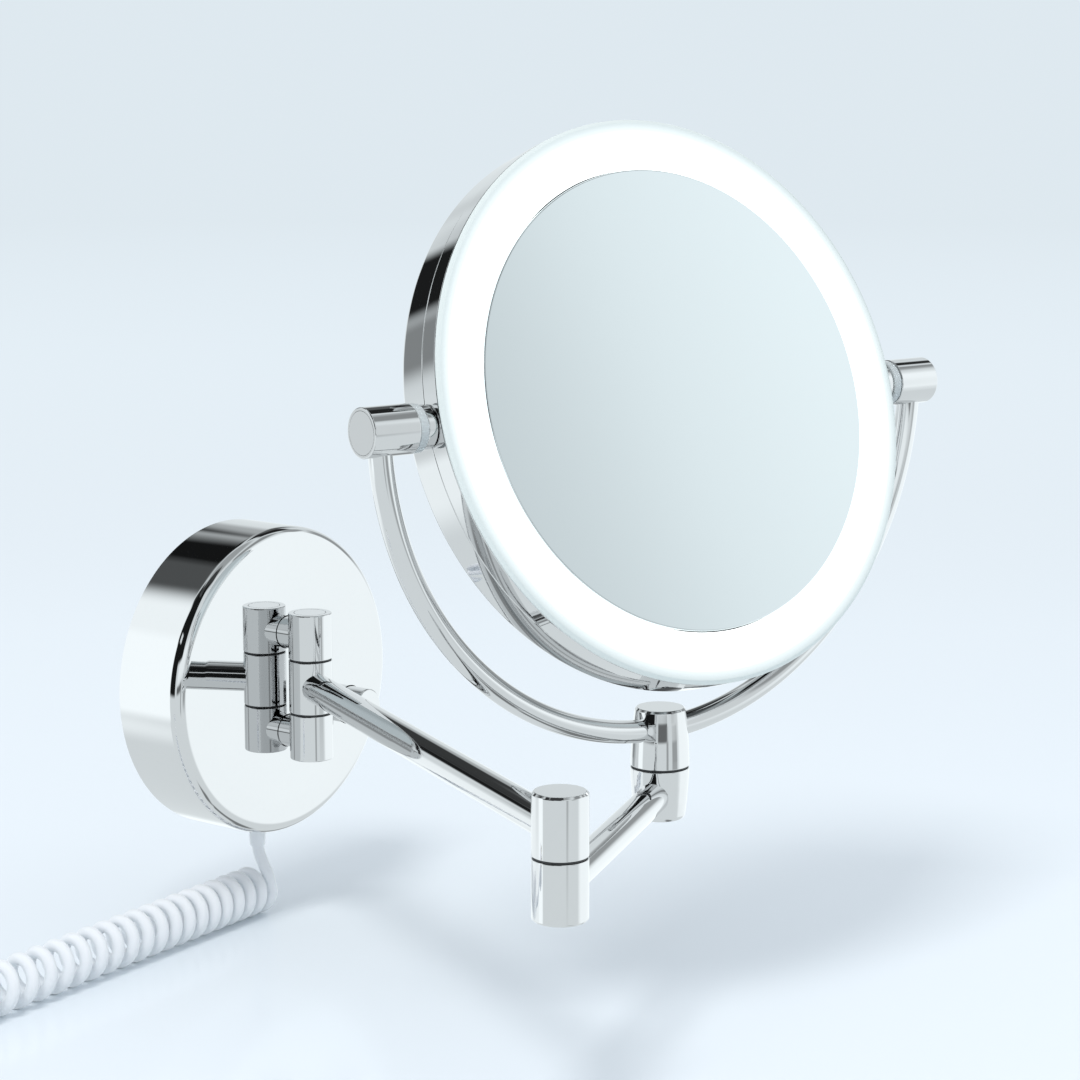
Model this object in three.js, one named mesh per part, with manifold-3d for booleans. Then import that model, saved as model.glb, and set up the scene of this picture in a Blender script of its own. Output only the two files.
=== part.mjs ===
// Extendable lit shaving mirror on a round wall base.
// Millimetres, +Z up. The wall is the plane y = 0 and the mirror reaches out towards -Y.
import * as THREE from "three";
import { mergeVertices } from "three/addons/utils/BufferGeometryUtils.js";
import Module from "manifold-3d";

const wasm = await Module();
wasm.setup();

// ---------------------------------------------------------------- driving dimensions
const GAP = 0.15; // clearance between two pieces that meet
const SEAM = 0.5; // thickness of the plastic washer in a joint's seam

const DRUM_R = 60;
const DRUM_DEPTH = 31.5;
const DRUM_ROUND = 4.5;
const DRUM_SHEET = 1.5;
const BRACKET_R = 50;
const BRACKET_T = 4;

const HINGE_Y = -43.4; // the wall hinge's axis
const HINGE_R = 8.4;
const HINGE_HALF = 28.6;
const HINGE_SEAM = 10.25;
const POST_R = 6.2;
const POST_Z = 19.5;

const BUTTON = { x: 36, z: -16, r: 7.5, out: 10 };

const INNER_YAW = -118; // direction of the inner arm at rest
const INNER_LENGTH = 225;
const INNER_R = 5.8;
const ELBOW_R = 9.2;
const ELBOW_TOP = 12.5;
const ELBOW_SEAM = -8.5;
const ELBOW_BOTTOM = -29.5;

const OUTER_YAW = 19.7;
const OUTER_LENGTH = 120.6;
const OUTER_R = 5.5;
const OUTER_Z = -18.7;
const TUBE_WALL = 1.3;

const YOKE_YAW = -16.2;
const YOKE_R = 117.7;
const YOKE_TUBE_R = 4.1;
const YOKE_CENTRE_Z = 122.2;
const PIVOT_Z = 120;
const KNOB_R = 8.4;
const KNOB_IN = 106.7;
const KNOB_OUT = 124.5;

const TILT = 18; // how far the mirror looks up at rest
const HEAD_R = 99.3;
const MIRROR_R = 81.1;
const MIRROR_FRONT = 10.6; // distances in front of the pivot axis
const DIFFUSER_FRONT = 10.3;
const RIM_FRONT = 8.7;
const HEAD_GROOVE = 0.7;
const HEAD_BACK = -13.2;
const LEDS = 24;

const CORD_R = 2.35;
const CORD_EXIT_Y = -14;
const COIL_R = 9.7;
const COIL_START = [2, -11.7];
const COIL_END = [-178, -23.7];
const FLOOR_Z = -97; // the surface the cord lies on
const PLUG_YAW = 12;

// ---------------------------------------------------------------- building helpers
const rad = THREE.MathUtils.degToRad;

// A bare indexed surface: welded, without collapsed triangles, and facing outwards.
function bare(geometry) {
  const g = geometry.clone();
  g.deleteAttribute("normal");
  g.deleteAttribute("uv");
  const welded = mergeVertices(g, 1e-4);
  const p = welded.getAttribute("position");
  const at = (i) => new THREE.Vector3().fromBufferAttribute(p, i);
  const kept = [];
  let volume = 0;
  for (let i = 0; i < welded.index.count; i += 3) {
    const [a, b, c] = [0, 1, 2].map((k) => welded.index.getX(i + k));
    if (a === b || b === c || c === a) continue;
    kept.push([a, b, c]);
    volume += at(a).dot(at(b).cross(at(c)));
  }
  if (volume < 0) kept.forEach((t) => t.reverse());
  welded.setIndex(kept.flat());
  return welded;
}

function solid(geometry) {
  const g = bare(geometry);
  return new wasm.Manifold(
    new wasm.Mesh({
      numProp: 3,
      vertProperties: new Float32Array(g.getAttribute("position").array),
      triVerts: new Uint32Array(g.index.array),
    }),
  );
}

function surface(manifold) {
  const mesh = manifold.getMesh();
  const xyz = new Float32Array(mesh.numVert * 3);
  for (let i = 0; i < mesh.numVert; i++)
    xyz.set(mesh.vertProperties.subarray(i * mesh.numProp, i * mesh.numProp + 3), i * 3);
  return new THREE.BufferGeometry()
    .setAttribute("position", new THREE.BufferAttribute(xyz, 3))
    .setIndex(new THREE.BufferAttribute(new Uint32Array(mesh.triVerts), 1));
}

const cut = (body, ...tools) =>
  surface(tools.reduce((left, tool) => left.subtract(solid(tool)), solid(body)));
const join = (body, ...more) =>
  surface(more.reduce((whole, piece) => whole.add(solid(piece)), solid(body)));

// Turned pieces: profile points are [radius, distance along the axis].
const turnY = (profile, n = 24) =>
  new THREE.LatheGeometry(profile.map(([r, h]) => new THREE.Vector2(r, h)), n);
const turnZ = (profile, n) => turnY(profile, n).rotateX(Math.PI / 2);
const turnX = (profile, n) => turnY(profile, n).rotateZ(-Math.PI / 2);
const rod = (r, a, b) => [[0, a], [r, a], [r, b], [0, b]];
const pipe = (inner, outer, a, b) => [[inner, a], [outer, a], [outer, b], [inner, b], [inner, a]];
const box = (x0, x1, y0, y1, z0, z1) =>
  new THREE.BoxGeometry(x1 - x0, y1 - y0, z1 - z0).translate(
    (x0 + x1) / 2, (y0 + y1) / 2, (z0 + z1) / 2);

// A round section swept along a curve, hollow when it is given an inner radius.
function sweep(curve, r, sides, steps, inner = 0, innerSides = 8) {
  const ring = (radius, n) =>
    Array.from({ length: n }, (_, i) => {
      const a = (2 * Math.PI * i) / n;
      return new THREE.Vector2(radius * Math.cos(a), radius * Math.sin(a));
    });
  const section = new THREE.Shape(ring(r, sides));
  if (inner) section.holes.push(new THREE.Path(ring(inner, innerSides)));
  return new THREE.ExtrudeGeometry(section, {
    steps, extrudePath: curve, bevelEnabled: false, curveSegments: 1,
  });
}

const FINISH = {
  chrome: [0xdfe4e8, 1, 0.12],
  steel: [0xb6babd, 1, 0.4],
  brass: [0xc9a24b, 1, 0.3],
  nylon: [0x2b2d30, 0, 0.6],
  white: [0xf2f4f5, 0, 0.4],
  clear: [0xe8efee, 0, 0.3],
  frost: [0xffffff, 0, 0.5],
  mirror: [0xc9d2d8, 1, 0.05],
  board: [0x2d6b45, 0, 0.6],
  grey: [0x6f7478, 0, 0.6],
};

function group(parent, position, rotation = [0, 0, 0]) {
  const g = new THREE.Group();
  g.position.set(...position);
  g.rotation.set(...rotation.map(rad));
  if (parent) parent.add(g);
  return g;
}

function piece(parent, name, finish, geometry) {
  const [color, metalness, roughness] = FINISH[finish];
  const material = new THREE.MeshStandardMaterial({ color, metalness, roughness });
  const mesh = new THREE.Mesh(bare(geometry), material);
  mesh.name = name;
  parent.add(mesh);
}

// ---------------------------------------------------------------- wall base
const root = group(null, [0, 0, 0]);

const acrossDrum = (r, x, z, from, to) => turnY(rod(r, from, to), 24).translate(x, 0, z);
const faceInside = -(DRUM_DEPTH - DRUM_SHEET);
const GRUB_TURN = rad(-28); // the grub screw sits beside the cord under the drum

const wallScrewHoles = [90, 210, 330].map((a) =>
  acrossDrum(2.6, 41 * Math.cos(rad(a)), 41 * Math.sin(rad(a)), -5, 1));
const postScrewHoles = [POST_Z, -POST_Z].map((z) =>
  turnY([[0, -5], [2.6, -5], [2.6, -2.9], [5.6, 0.1], [5.6, 1], [0, 1]], 20).translate(0, 0, z));
const grubLug = cut(
  box(-5, 5, -10.5, -0.5, -57, -44),
  turnZ(rod(2.25, -58, -43), 16).translate(0, -6.5, 0),
).rotateY(GRUB_TURN);
const bracketPlate = turnY(rod(BRACKET_R, -BRACKET_T, 0), 40);
piece(root, "wall_bracket", "steel",
  cut(join(bracketPlate, grubLug), ...wallScrewHoles, ...postScrewHoles));

const roundEdge = (r, y, radius, steps) =>
  Array.from({ length: steps + 1 }, (_, i) => {
    const a = (Math.PI / 2) * (i / steps);
    return [r - radius + radius * Math.cos(a), y + radius - radius * Math.sin(a)];
  });
const drumShell = turnY([
  [DRUM_R, -0.4],
  ...roundEdge(DRUM_R, -DRUM_DEPTH, DRUM_ROUND, 4),
  [0, -DRUM_DEPTH], [0, faceInside],
  ...roundEdge(DRUM_R - DRUM_SHEET, faceInside, DRUM_ROUND - DRUM_SHEET, 2).reverse(),
  [DRUM_R - DRUM_SHEET, -0.4], [DRUM_R, -0.4],
], 48);
piece(root, "base_cover", "chrome", cut(drumShell,
  acrossDrum(POST_R + 0.3, 0, POST_Z, -40, -25),
  acrossDrum(POST_R + 0.3, 0, -POST_Z, -40, -25),
  acrossDrum(BUTTON.r + 0.3, BUTTON.x, BUTTON.z, -40, -25),
  turnZ(rod(4.2, -62, -50), 20).translate(0, CORD_EXIT_Y, 0),
  turnZ(rod(2.6, -62, -50), 16).translate(0, -6.5, 0).rotateY(GRUB_TURN)));

piece(root, "cover_grub_screw", "steel", cut(
  turnZ(rod(2, -59.3, -48), 12),
  turnZ(rod(1.1, -60, -56.5), 6),
).translate(0, -6.5, 0).rotateY(GRUB_TURN));

// ---------------------------------------------------------------- wall hinge
for (const [side, z] of [["upper", POST_Z], ["lower", -POST_Z]]) {
  const post = acrossDrum(POST_R, 0, z, HINGE_Y, -BRACKET_T - GAP);
  piece(root, `hinge_post_${side}`, "chrome", cut(post,
    acrossDrum(2.6, 0, z, -27, 0),
    turnZ(rod(HINGE_R + GAP, z - 12, z + 12), 32).translate(0, HINGE_Y, 0)));
  piece(root, `post_screw_${side}`, "steel",
    turnY([[0, -25], [2.3, -25], [2.3, -2.8], [4.9, -0.3], [0, -0.3]], 16)
      .translate(0, 0, z));
}

const hinge = group(root, [0, HINGE_Y, 0]);
const upright = HINGE_SEAM + SEAM + GAP; // where the outer knuckles begin
const outerKnuckle = () => turnZ([
  [4, upright], [HINGE_R, upright], [HINGE_R, HINGE_HALF - 0.7], [HINGE_R - 0.7, HINGE_HALF],
  [6.2, HINGE_HALF], [6.2, 22.2], [4, 22.2], [4, upright],
]);
piece(hinge, "hinge_knuckle_top", "chrome", outerKnuckle());
piece(hinge, "hinge_knuckle_bottom", "chrome", outerKnuckle().rotateX(Math.PI));
const recessedCap = () => turnZ([[0, 26.7], [6.05, 26.7], [6.05, HINGE_HALF], [0, HINGE_HALF]], 24);
piece(hinge, "hinge_cap_top", "chrome", recessedCap());
piece(hinge, "hinge_cap_bottom", "chrome", recessedCap().rotateX(Math.PI));
piece(hinge, "hinge_pin", "steel",
  turnZ([[0, -25.6], [3.8, -25.6], [3.8, 22.4], [5.6, 22.4], [5.6, 26], [0, 26]], 16));
piece(hinge, "hinge_nut", "steel",
  cut(turnZ(rod(6, -25.6, -22.4), 6), turnZ(rod(4, -27, -21), 12)));
for (const [side, flip] of [["upper", 0], ["lower", Math.PI]])
  piece(hinge, `hinge_washer_${side}`, "nylon",
    turnZ(pipe(4, HINGE_R - 0.35, HINGE_SEAM, HINGE_SEAM + SEAM), 16).rotateX(flip));

// ---------------------------------------------------------------- electrics in the drum
piece(root, "driver_board", "board", box(-44, -10, -7.8, -6.2, -26, 26));
piece(root, "driver_transformer", "grey", box(-40, -20, -22, -8, -12, 14));
piece(root, "button_switch_body", "grey", cut(
  box(BUTTON.x - 9.5, BUTTON.x + 9.5, faceInside + GAP, -BRACKET_T - GAP, BUTTON.z - 9.5, BUTTON.z + 9.5),
  acrossDrum(BUTTON.r + 0.3, BUTTON.x, BUTTON.z, -31, -24.5)));
piece(root, "power_button", "chrome", turnY([
  [0, -27.5], [BUTTON.r, -27.5], [BUTTON.r, -DRUM_DEPTH - BUTTON.out + 1],
  [BUTTON.r - 1, -DRUM_DEPTH - BUTTON.out], [0, -DRUM_DEPTH - BUTTON.out],
]).translate(BUTTON.x, 0, BUTTON.z));

// ---------------------------------------------------------------- mains cord
const coilZ = FLOOR_Z + COIL_R;
const bores = (inner, profile, n) => turnZ([[inner, profile[0][1]], ...profile,
  [inner, profile.at(-1)[1]], [inner, profile[0][1]]], n);
piece(root, "strain_relief", "white",
  bores(2.5, [[5.6, -56], [5.6, -58.1], [3.9, -58.1], [3.9, -60.3], [3.5, -60.5], [2.95, -68.6]], 16)
    .translate(0, CORD_EXIT_Y, 0));
piece(root, "cord_lead", "white",
  turnZ(rod(CORD_R, coilZ + COIL_R + 0.3, -54), 8).translate(0, CORD_EXIT_Y, 0));

const coilAxis = new THREE.LineCurve3(
  new THREE.Vector3(...COIL_START, coilZ), new THREE.Vector3(...COIL_END, coilZ));
piece(root, "cord_coil", "white", sweep(coilAxis, COIL_R, 12, 1));

const plug = group(root, [-283, -44, FLOOR_Z + 7.3], [0, 0, 180 + PLUG_YAW]);
const tailPath = new THREE.CatmullRomCurve3([
  [-178.5, -23.7, -94.6], [-200, -25.5, -94.6], [-222, -29.5, -94.2], [-243, -35, -92.2],
  [-264.2, -40, FLOOR_Z + 7.3],
].map((p) => new THREE.Vector3(...p)));
piece(root, "cord_tail", "white", sweep(tailPath, CORD_R, 8, 16));
piece(plug, "plug_boot", "white",
  turnX([[0, -18.6], [3.1, -18.6], [4.8, -0.3], [0, -0.3]], 12));
const plugOutline = new THREE.Shape(
  [[0, -8], [6, -13.5], [26, -17.5], [34, -17.5], [34, 17.5], [26, 17.5], [6, 13.5], [0, 8]]
    .map((p) => new THREE.Vector2(...p)));
const plugHoles = [-9.3, 9.3].map((y) => turnX(rod(2.15, 30, 36), 12).translate(0, y, 0));
piece(plug, "plug_body", "white", cut(
  new THREE.ExtrudeGeometry(plugOutline, { depth: 13.6, bevelEnabled: false }).translate(0, 0, -6.8),
  ...plugHoles));
for (const [side, y] of [["left", -9.3], ["right", 9.3]])
  piece(plug, `plug_pin_${side}`, "brass", turnX([
    [0, 30.2], [2, 30.2], [2, 51.8], [1, 53], [0, 53],
  ], 12).translate(0, y, 0));

// ---------------------------------------------------------------- inner arm
const inner = group(hinge, [0, 0, 0], [0, 0, INNER_YAW]);
piece(inner, "inner_arm_knuckle", "chrome",
  turnZ(pipe(4, HINGE_R, GAP - HINGE_SEAM, HINGE_SEAM - GAP)));
piece(inner, "inner_arm_tube", "chrome", cut(
  turnX(pipe(INNER_R - TUBE_WALL, INNER_R, 4, INNER_LENGTH - 4), 20),
  turnZ(rod(HINGE_R + GAP, -9, 9)),
  turnZ(rod(ELBOW_R + GAP, -9, 9)).translate(INNER_LENGTH, 0, 0)));
piece(inner, "inner_arm_wire", "white", turnX(rod(1.8, 10, INNER_LENGTH - 11), 8));

const atElbow = group(inner, [INNER_LENGTH, 0, 0]);
piece(atElbow, "elbow_upper_knuckle", "chrome", turnZ([
  [0, 9], [3.9, 9], [3.9, ELBOW_SEAM + GAP], [ELBOW_R, ELBOW_SEAM + GAP],
  [ELBOW_R, ELBOW_TOP - 1], [ELBOW_R - 0.3, ELBOW_TOP - 0.3], [ELBOW_R - 1, ELBOW_TOP],
  [0, ELBOW_TOP],
]));
piece(atElbow, "elbow_pin", "steel", turnZ(rod(3.7, -27.2, 8.8), 12));

// ---------------------------------------------------------------- outer arm
const outer = group(atElbow, [0, 0, 0], [0, 0, OUTER_YAW - INNER_YAW]);
const lowerSeam = ELBOW_SEAM - SEAM - GAP;
piece(outer, "elbow_lower_knuckle", "chrome", turnZ([
  [3.9, lowerSeam], [ELBOW_R, lowerSeam], [ELBOW_R, ELBOW_BOTTOM + 0.8],
  [ELBOW_R - 0.8, ELBOW_BOTTOM], [6.6, ELBOW_BOTTOM], [6.6, -23.8], [3.9, -23.8],
  [3.9, lowerSeam],
]));
piece(outer, "elbow_washer", "nylon",
  turnZ(pipe(4, ELBOW_R - 0.35, ELBOW_SEAM - SEAM, ELBOW_SEAM), 16));
piece(outer, "elbow_nut", "steel",
  cut(turnZ(rod(6.2, -27.2, -24), 6), turnZ(rod(3.9, -28, -23), 12)));
piece(outer, "elbow_cap", "chrome", turnZ(rod(6.45, ELBOW_BOTTOM, ELBOW_BOTTOM + 1.8), 20));

const barrelLow = [[9.2, -26.6], [9.75, -21], [10.2, -15], [10.45, -10.5], [10.5, -9.15]];
const offset = (profile, by) => profile.map(([r, z]) => [r + by, z]);
piece(outer, "outer_arm_tube", "chrome", cut(
  turnX(pipe(OUTER_R - TUBE_WALL, OUTER_R, 4, OUTER_LENGTH - 4), 20).translate(0, 0, OUTER_Z),
  turnZ(rod(ELBOW_R + GAP, -28, -10)),
  turnZ([[0, -30], ...offset([[9.2, -30], ...barrelLow], GAP), [0, -9.15]])
    .translate(OUTER_LENGTH, 0, 0)));
piece(outer, "outer_arm_wire", "white",
  turnX(rod(1.8, 11, OUTER_LENGTH - 12), 8).translate(0, 0, OUTER_Z));

const atSwivel = group(outer, [OUTER_LENGTH, 0, 0]);
piece(atSwivel, "swivel_lower_half", "chrome", turnZ([
  [0, -27.5], [8.4, -27.5], ...barrelLow, [3.4, -9.15], [3.4, -24.2], [0, -24.2],
]));
piece(atSwivel, "swivel_washer", "nylon",
  turnZ(pipe(3.4, 10.15, ELBOW_SEAM - SEAM, ELBOW_SEAM), 16));

// ---------------------------------------------------------------- yoke
const yoke = group(atSwivel, [0, 0, 0], [0, 0, YOKE_YAW - OUTER_YAW]);
class YokeArc extends THREE.Curve {
  getPoint(t) {
    const end = Math.asin((YOKE_CENTRE_Z - PIVOT_Z + 4) / YOKE_R);
    const a = -Math.PI + end + t * (Math.PI - 2 * end);
    return new THREE.Vector3(
      YOKE_R * Math.cos(a), 0, YOKE_CENTRE_Z + YOKE_R * Math.sin(a));
  }
}
const knobAxis = (r) => turnX(rod(r, KNOB_IN - 1, KNOB_OUT + 1)).translate(0, 0, PIVOT_Z);
piece(yoke, "yoke_tube", "chrome", cut(
  sweep(new YokeArc(), YOKE_TUBE_R, 12, 36, YOKE_TUBE_R - 1.1, 6),
  knobAxis(KNOB_R + GAP), knobAxis(KNOB_R + GAP).rotateZ(Math.PI)));
const throughBarrel = sweep(new YokeArc(), YOKE_TUBE_R + 0.3, 12, 36);
piece(yoke, "swivel_upper_half", "chrome", cut(turnZ([
  [0, -1.2], [3.4, -1.2], [3.4, ELBOW_SEAM + GAP], [10.5, ELBOW_SEAM + GAP],
  [10.4, -5], [10.05, 1.5], [9.45, 8], [9.05, 11.6], [8.2, ELBOW_TOP], [0, ELBOW_TOP],
]), throughBarrel));
piece(yoke, "swivel_pin", "steel", turnZ(rod(3.2, -24, -1.4), 12));

// ---------------------------------------------------------------- lit head
const head = group(yoke, [0, 0, PIVOT_Z], [-TILT, 0, 0]);
const turned = (profile, n = 48) => turnY(profile.map(([r, f]) => [r, -f]), n);
const shaftHoles = [0, Math.PI].map((a) => turnX(rod(4.3, 88, 102), 16).rotateZ(a));

for (const [side, turn] of [["right", 0], ["left", Math.PI]]) {
  piece(yoke, `pivot_knob_${side}`, "chrome", turnX([
    [0, 121.2], [4.4, 121.2], [4.4, KNOB_IN], [KNOB_R - 0.5, KNOB_IN], [KNOB_R, KNOB_IN + 0.5],
    [KNOB_R, KNOB_OUT - 0.7], [KNOB_R - 0.7, KNOB_OUT], [7.3, KNOB_OUT], [7.3, 122.9], [0, 122.9],
  ]).rotateZ(turn).translate(0, 0, PIVOT_Z));
  piece(yoke, `pivot_end_cap_${side}`, "chrome",
    turnX([[0, 123.05], [7.1, 123.05], [7.1, KNOB_OUT], [5.5, KNOB_OUT + 0.3], [0, KNOB_OUT + 0.4]])
      .rotateZ(turn).translate(0, 0, PIVOT_Z));
  piece(head, `pivot_washer_${side}`, "clear",
    turnX(pipe(4.2, 8.2, 103.3, KNOB_IN - GAP)).rotateZ(turn));
  piece(head, `pivot_stud_${side}`, "chrome", turnX([
    [0, 88.5], [4, 88.5], [4, HEAD_R + 0.2], [7.5, HEAD_R + 0.2], [7.5, 103.1], [4, 103.1],
    [4, 120.8], [0, 120.8],
  ]).rotateZ(turn));
}

piece(head, "head_front_rim", "chrome", cut(turned([
  [HEAD_R - 1.6, HEAD_GROOVE + 0.3], [HEAD_R - 0.4, HEAD_GROOVE + 0.3],
  [HEAD_R, HEAD_GROOVE + 0.8], [HEAD_R, RIM_FRONT], [HEAD_R - 1.6, RIM_FRONT],
  [HEAD_R - 1.6, HEAD_GROOVE + 0.3],
]), ...shaftHoles));
piece(head, "head_rear_shell", "chrome", cut(turned([
  [HEAD_R - 2, HEAD_GROOVE - 0.1], [HEAD_R - 0.8, HEAD_GROOVE - 0.1],
  [HEAD_R - 0.4, HEAD_GROOVE - 0.6], [HEAD_R - 0.4, HEAD_BACK + 2.4],
  [HEAD_R - 1.1, HEAD_BACK + 0.7], [HEAD_R - 2.8, HEAD_BACK], [91, HEAD_BACK],
  [91, HEAD_BACK + 1.4], [HEAD_R - 3.2, HEAD_BACK + 1.4], [HEAD_R - 2, HEAD_BACK + 2.8],
  [HEAD_R - 2, HEAD_GROOVE - 0.1],
]), ...shaftHoles));
piece(head, "diffuser_ring", "frost", turned([
  [MIRROR_R + 0.4, 8.1], [97.3, 8.1], [97.3, RIM_FRONT + GAP], [HEAD_R, RIM_FRONT + GAP],
  [HEAD_R, 9.2], [HEAD_R - 0.4, 9.9], [HEAD_R - 1.4, DIFFUSER_FRONT],
  [MIRROR_R + 0.4, DIFFUSER_FRONT], [MIRROR_R + 0.4, 8.1],
]));
piece(head, "front_mirror", "mirror", turned([
  [0, 7.4], [MIRROR_R, 7.4], [MIRROR_R, MIRROR_FRONT - 0.5], [MIRROR_R - 0.5, MIRROR_FRONT],
  [0, MIRROR_FRONT],
]));
piece(head, "mirror_carrier", "grey", turned(rod(MIRROR_R - 0.3, 2.4, 7.2), 32));
piece(head, "head_frame", "grey", cut(turned(rod(96.9, -2, 2.1), 36), ...shaftHoles));
piece(head, "rear_mirror", "mirror", turned(rod(95.5, HEAD_BACK + 1.6, HEAD_BACK + 4.6)));
const chips = Array.from({ length: LEDS }, (_, i) =>
  box(-1.6, 1.6, -6.9, -5.3, 86.8, 90.2).rotateY((2 * Math.PI * (i + 0.5)) / LEDS));
piece(head, "led_board", "white", join(turned(pipe(82.2, 96.5, 4.4, 5.6), 36), ...chips));

export default root;
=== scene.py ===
# %% [markdown]
# # A lit shaving mirror on a folding arm
# A round chrome base hangs on a bathroom wall. A folding arm carries a U-shaped yoke, and a round
# mirror with a ring of light tilts in it. A curly white mains cord leaves the base.
# This lesson dresses the mirror's engineering model. Most of the show is in two things: surfaces
# smooth enough to reflect cleanly, and something for them to reflect. The engineering model could
# be shown as it is, but its round pieces have flat sides, and polished metal gives those away. So
# each piece that shows is made again, finely, in exactly the same place.

import math

import bmesh
import bpy
import numpy as np
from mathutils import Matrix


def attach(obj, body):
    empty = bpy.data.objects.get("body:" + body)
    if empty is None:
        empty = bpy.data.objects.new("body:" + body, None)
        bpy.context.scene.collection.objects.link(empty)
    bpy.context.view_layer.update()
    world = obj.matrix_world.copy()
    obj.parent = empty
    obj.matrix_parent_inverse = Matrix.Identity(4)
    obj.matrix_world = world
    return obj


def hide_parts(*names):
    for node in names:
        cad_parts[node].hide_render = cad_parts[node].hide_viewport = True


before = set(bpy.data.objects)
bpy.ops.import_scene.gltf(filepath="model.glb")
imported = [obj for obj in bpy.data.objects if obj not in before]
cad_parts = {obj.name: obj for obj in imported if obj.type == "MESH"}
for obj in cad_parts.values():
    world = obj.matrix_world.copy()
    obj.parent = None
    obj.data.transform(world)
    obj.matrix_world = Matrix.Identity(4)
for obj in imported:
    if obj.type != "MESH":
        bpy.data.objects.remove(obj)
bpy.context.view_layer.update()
scene = bpy.context.scene
scene.view_settings.view_transform = "Standard"
MM = 0.001

# %% [markdown]
# ## Camera
# The mirror is seen from the front left, from a little above, looking slightly down. A wide lens
# close by would take it all in too, but it would swell whatever is nearest. A long lens from a
# metre away keeps the round base and the round head from looking stretched.

# %% Camera
camera_data = bpy.data.cameras.new("studio_camera")
camera_data.sensor_width = 36
camera_data.lens = 94.8
camera_data.clip_start, camera_data.clip_end = 0.05, 60
camera = bpy.data.objects.new("studio_camera", camera_data)
scene.collection.objects.link(camera)
camera.location = (-0.7993, -0.7595, 0.2431)
pitch, heading = math.radians(90 - 9.885), math.radians(-52.859)
camera.rotation_euler = (pitch, 0, heading)
scene.camera = camera
print("lens", camera_data.lens, "mm")

# %% [markdown]
# ## Where each joint stands
# The real mirror is a chain: base, hinge, inner arm, elbow, outer arm, swivel, yoke and head. It
# could be a chain of objects, each one the next one's parent. Here every piece is drawn about its
# own axis and then carried to its place by a 4x4 matrix, and the matrices multiply along the
# chain. The finished object itself stays at the origin, with its place in its mesh.

# %% Joint frames
def shift(x, y, z):
    """A matrix that moves by (x, y, z) millimetres."""
    m = np.eye(4)
    m[:3, 3] = x, y, z
    return m


def turn(axis, degrees):
    """A matrix that turns about axis 0, 1 or 2 (X, Y or Z)."""
    a, b = (axis + 1) % 3, (axis + 2) % 3
    c, s = math.cos(math.radians(degrees)), math.sin(math.radians(degrees))
    m = np.eye(4)
    m[a, a], m[a, b], m[b, a], m[b, b] = c, -s, s, c
    return m


BASE = np.eye(4)
HINGE = shift(0, -43.4, 0)
INNER = HINGE @ turn(2, -118)
ELBOW = INNER @ shift(225, 0, 0)
OUTER = ELBOW @ turn(2, 19.7 + 118)
SWIVEL = OUTER @ shift(120.6, 0, 0)
YOKE = SWIVEL @ turn(2, -16.2 - 19.7)
HEAD = YOKE @ shift(0, 0, 120) @ turn(0, -18)
HALF_TURN = turn(2, 180)
print("the head's centre is at", np.round(HEAD[:3, 3], 1), "mm")

# %% [markdown]
# ## The curly cord
# A curly mains cord is a round flex wound on a rod and set by heat, so it is one long helix. It
# hangs from the base, meets the coil on its near side and lies along the surface. Its own weight
# has drawn the far turns further apart, so the pitch grows along the coil. A Screw modifier makes
# a helix too, but its pitch is even and its ends stop dead. So the centreline is worked out as
# points, and one curve with a round section follows them from the base to the plug.

# %% The cord's centreline
CORD_R = 2.35
FLOOR_Z = -97.0
COIL_R = 9.7
COIL_MEAN_R = COIL_R - CORD_R
COIL_FROM, COIL_TO = np.array([2.0, -11.7]), np.array([-178.0, -23.7])
POINTS_PER_TURN = 28


def coil_points(first_pitch, growth, turns):
    """The distance along the coil grows as an exponential of the angle, so each turn is longer
    than the last. The point circles the axis: near side, bottom, far side, top."""
    angle = np.linspace(0, 2 * np.pi * turns, int(POINTS_PER_TURN * turns) + 1)
    along = first_pitch / growth * (np.exp(growth * angle / (2 * np.pi)) - 1)
    way = (COIL_TO - COIL_FROM) / np.linalg.norm(COIL_TO - COIL_FROM)
    far_side = np.array([way[1], -way[0]])
    flat = COIL_FROM + np.outer(along, way) - COIL_MEAN_R * np.outer(np.cos(angle), far_side)
    height = FLOOR_Z + COIL_R - COIL_MEAN_R * np.sin(angle)
    return np.column_stack([flat, height])


def smooth_path(points, steps):
    """A Catmull-Rom curve through the points: each stretch is a cubic that leaves and arrives
    along the line between its neighbours."""
    p = np.vstack([2 * points[0] - points[1], points, 2 * points[-1] - points[-2]])
    t = np.linspace(0, 1, steps, endpoint=False)[:, None]
    parts = [
        0.5 * (2 * b + (c - a) * t + (2 * a - 5 * b + 4 * c - d) * t**2
               + (3 * b - a - 3 * c + d) * t**3)
        for a, b, c, d in zip(p, p[1:], p[2:], p[3:])
    ]
    return np.vstack([*parts, points[-1:]])


FIRST_PITCH, GROWTH, TURNS = 6.6, 0.0221, 21.25
coil = coil_points(FIRST_PITCH, GROWTH, TURNS)
lead = smooth_path(np.array([
    [0, -14, -54], [0, -14, -60], [0, -14, -66], [0.1, -14.4, -71], [0.7, -16.2, -76],
    [1.4, -18.2, -81], coil[0],
]), 6)
tail = smooth_path(np.array([
    coil[-1], coil[-1] + [-7, 4.5, 0], [-196, -18.6, -94.65], [-209, -22.4, -94.6],
    [-224, -29, -94.2], [-243, -35.6, -92.4], [-258, -38.6, -90.4], [-264.2, -40, -89.7],
]), 8)
cord_path = np.vstack([lead[:-1], coil, tail[1:]])

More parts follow.
